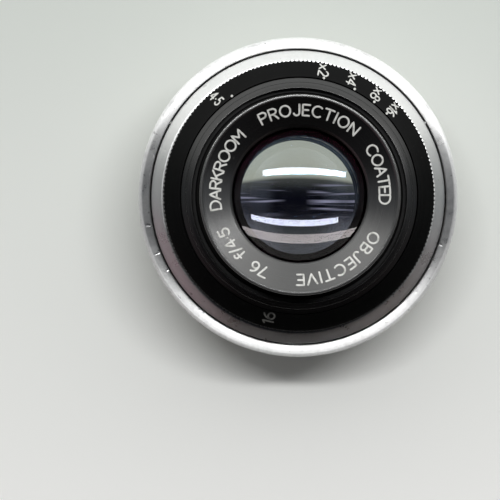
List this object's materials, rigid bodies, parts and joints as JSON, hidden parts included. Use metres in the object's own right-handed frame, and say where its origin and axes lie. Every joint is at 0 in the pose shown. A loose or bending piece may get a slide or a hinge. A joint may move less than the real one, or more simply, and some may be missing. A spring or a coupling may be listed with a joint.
{
  "type": "enlarger lens",
  "caption": "Small round lens for a photographic enlarger, with a screw flange, a knurled aperture ring that closes an iris, and a black dished front ring round coated glass.",
  "frame": {"origin": "on the optical axis, in the plane of the rear rim that the lens stands on", "axes": "+Z along the optical axis towards the front; +Y is the side with the two witness marks on the flange"},
  "size_m": [0.048, 0.048, 0.0276],
  "materials": {
    "satin_aluminium": "turned and satin polished, bright, worn at the edges",
    "turned_brass": "turned, dull",
    "screw_steel": "bright steel",
    "black_barrel": "matt black anodised aluminium",
    "black_collar": "black anodised aluminium, satin",
    "black_name_ring": "black anodised, finely turned, white filled engraving",
    "black_ring": "satin black anodised, knurled, white filled engraving",
    "blade_steel": "blued steel, satin",
    "front_glass": "polished, single coated, blue and amber reflections",
    "inner_glass": "polished, single coated",
    "white_fill": "white paint in the engraving",
    "rear_glass": "polished, single coated"
  },
  "bodies": {
    "barrel": {"mount_ring": "satin_aluminium", "main_barrel": "satin_aluminium", "mount_lock_ring": "turned_brass", "orientation_screw_1": "screw_steel", "orientation_screw_2": "screw_steel", "orientation_screw_3": "screw_steel", "front_barrel": "black_barrel", "front_collar": "black_collar", "front_cell": "black_barrel", "name_ring": "black_name_ring", "front_spacer": "black_barrel", "wave_spring": "screw_steel", "iris_base_plate": "black_barrel", "iris_retaining_ring": "black_barrel", "front_element": "front_glass", "middle_element": "inner_glass", "middle_retaining_ring": "black_barrel", "rear_cell": "black_barrel", "rear_outer_element": "rear_glass", "rear_inner_element": "inner_glass", "rear_retaining_ring": "black_barrel"},
    "aperture_ring": {"aperture_ring": "black_ring", "drive_screw": "screw_steel", "iris_actuating_ring": "turned_brass"},
    "iris_blade_1": {"iris_blade_1": "blade_steel"},
    "iris_blade_2": {"iris_blade_2": "blade_steel"},
    "iris_blade_3": {"iris_blade_3": "blade_steel"},
    "iris_blade_4": {"iris_blade_4": "blade_steel"},
    "iris_blade_5": {"iris_blade_5": "blade_steel"},
    "iris_blade_6": {"iris_blade_6": "blade_steel"},
    "iris_blade_7": {"iris_blade_7": "blade_steel"},
    "iris_blade_8": {"iris_blade_8": "blade_steel"}
  },
  "joints": [
    {"name": "aperture_turn", "type": "hinge", "parent": "barrel", "child": "aperture_ring", "pos_m": [0, 0, 0.018], "axis": [0, 0, 1], "range_deg": [0, 81]},
    {"name": "blade_pivot_1", "type": "hinge", "parent": "barrel", "child": "iris_blade_1", "pos_m": [0.0111, 0, 0.0155], "axis": [0, 0, 1], "range_deg": [0, 38]},
    {"name": "blade_pivot_2", "type": "hinge", "parent": "barrel", "child": "iris_blade_2", "pos_m": [0.00785, 0.00785, 0.0155], "axis": [0, 0, 1], "range_deg": [0, 38]},
    {"name": "blade_pivot_3", "type": "hinge", "parent": "barrel", "child": "iris_blade_3", "pos_m": [0, 0.0111, 0.0155], "axis": [0, 0, 1], "range_deg": [0, 38]},
    {"name": "blade_pivot_4", "type": "hinge", "parent": "barrel", "child": "iris_blade_4", "pos_m": [-0.00785, 0.00785, 0.0155], "axis": [0, 0, 1], "range_deg": [0, 38]},
    {"name": "blade_pivot_5", "type": "hinge", "parent": "barrel", "child": "iris_blade_5", "pos_m": [-0.0111, 0, 0.0155], "axis": [0, 0, 1], "range_deg": [0, 38]},
    {"name": "blade_pivot_6", "type": "hinge", "parent": "barrel", "child": "iris_blade_6", "pos_m": [-0.00785, -0.00785, 0.0155], "axis": [0, 0, 1], "range_deg": [0, 38]},
    {"name": "blade_pivot_7", "type": "hinge", "parent": "barrel", "child": "iris_blade_7", "pos_m": [0, -0.0111, 0.0155], "axis": [0, 0, 1], "range_deg": [0, 38]},
    {"name": "blade_pivot_8", "type": "hinge", "parent": "barrel", "child": "iris_blade_8", "pos_m": [0.00785, -0.00785, 0.0155], "axis": [0, 0, 1], "range_deg": [0, 38]}
  ],
  "couplings": [
    {"joint": "blade_pivot_1", "follows": "aperture_turn", "ratio": 0.46914},
    {"joint": "blade_pivot_2", "follows": "aperture_turn", "ratio": 0.46914},
    {"joint": "blade_pivot_3", "follows": "aperture_turn", "ratio": 0.46914},
    {"joint": "blade_pivot_4", "follows": "aperture_turn", "ratio": 0.46914},
    {"joint": "blade_pivot_5", "follows": "aperture_turn", "ratio": 0.46914},
    {"joint": "blade_pivot_6", "follows": "aperture_turn", "ratio": 0.46914},
    {"joint": "blade_pivot_7", "follows": "aperture_turn", "ratio": 0.46914},
    {"joint": "blade_pivot_8", "follows": "aperture_turn", "ratio": 0.46914}
  ]
}
